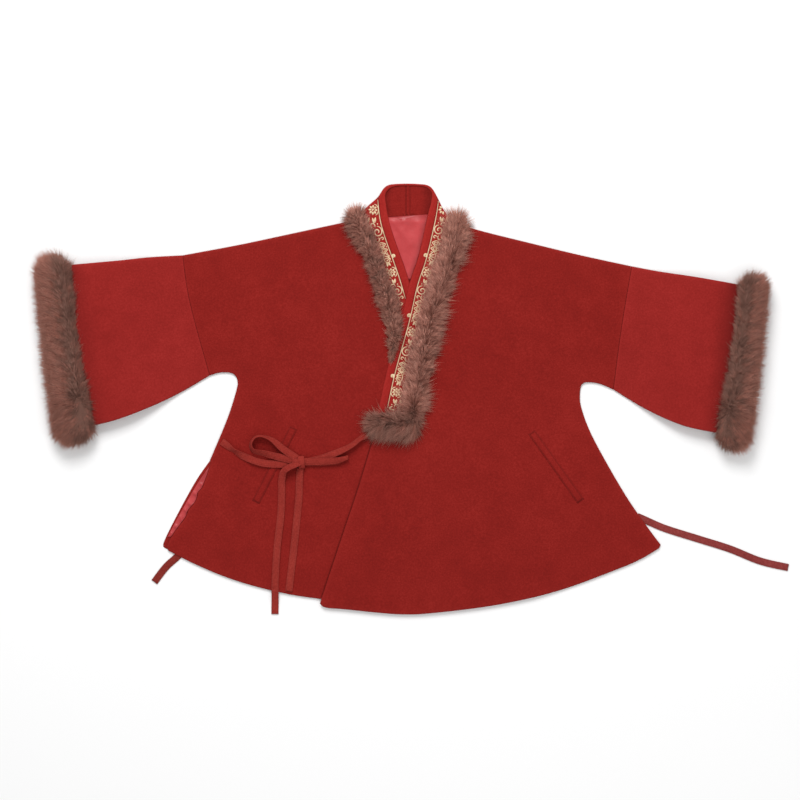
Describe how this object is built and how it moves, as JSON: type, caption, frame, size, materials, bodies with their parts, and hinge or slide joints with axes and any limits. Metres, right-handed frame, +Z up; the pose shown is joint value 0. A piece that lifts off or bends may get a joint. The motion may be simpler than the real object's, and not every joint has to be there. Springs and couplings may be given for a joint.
{
  "type": "hanfu jacket",
  "caption": "Short crossed-collar wool jacket laid flat, with wide sleeves, fur cuffs and collar trim, slit sides and tied fronts.",
  "frame": {"origin": "centre of the laid-out jacket's footprint, on the surface it lies on", "axes": "+X towards the wearer's left, along the spread sleeves; +Y from the hem to the collar; +Z up from the surface"},
  "size_m": [1.2076, 0.688, 0.044],
  "materials": {
    "wool": "matte red felted wool with a soft nap",
    "wool_sleeve": "the same red wool with its nap the other way, a shade lighter",
    "satin": "rose satin lining",
    "fur": "long brown fur, darker at the roots",
    "tie_wool": "matte red wool strip"
  },
  "bodies": {
    "root": {"back": "wool", "lining_neck": "satin", "front_inner": "wool", "front_outer": "wool", "lining_slit": "satin", "collar_stand": "wool", "collar_band_inner": "wool", "collar_band_outer": "wool", "sleeve_right_under": "wool_sleeve", "sleeve_right_upper": "wool_sleeve", "sleeve_left_under": "wool_sleeve", "sleeve_left_upper": "wool_sleeve", "fur_cuff_right": "fur", "fur_cuff_left": "fur", "fur_collar_inner": "fur", "fur_collar_outer": "fur", "fur_collar_end": "fur", "pocket_welt_right": "wool", "pocket_welt_left": "wool", "bow_knot": "tie_wool", "tie_side": "tie_wool", "tie_front": "tie_wool", "bow_loop_side": "tie_wool", "bow_loop_front": "tie_wool", "bow_tail_long": "tie_wool", "bow_tail_short": "tie_wool", "tie_inside_right": "tie_wool", "tie_inside_left": "tie_wool"}
  },
  "joints": []
}
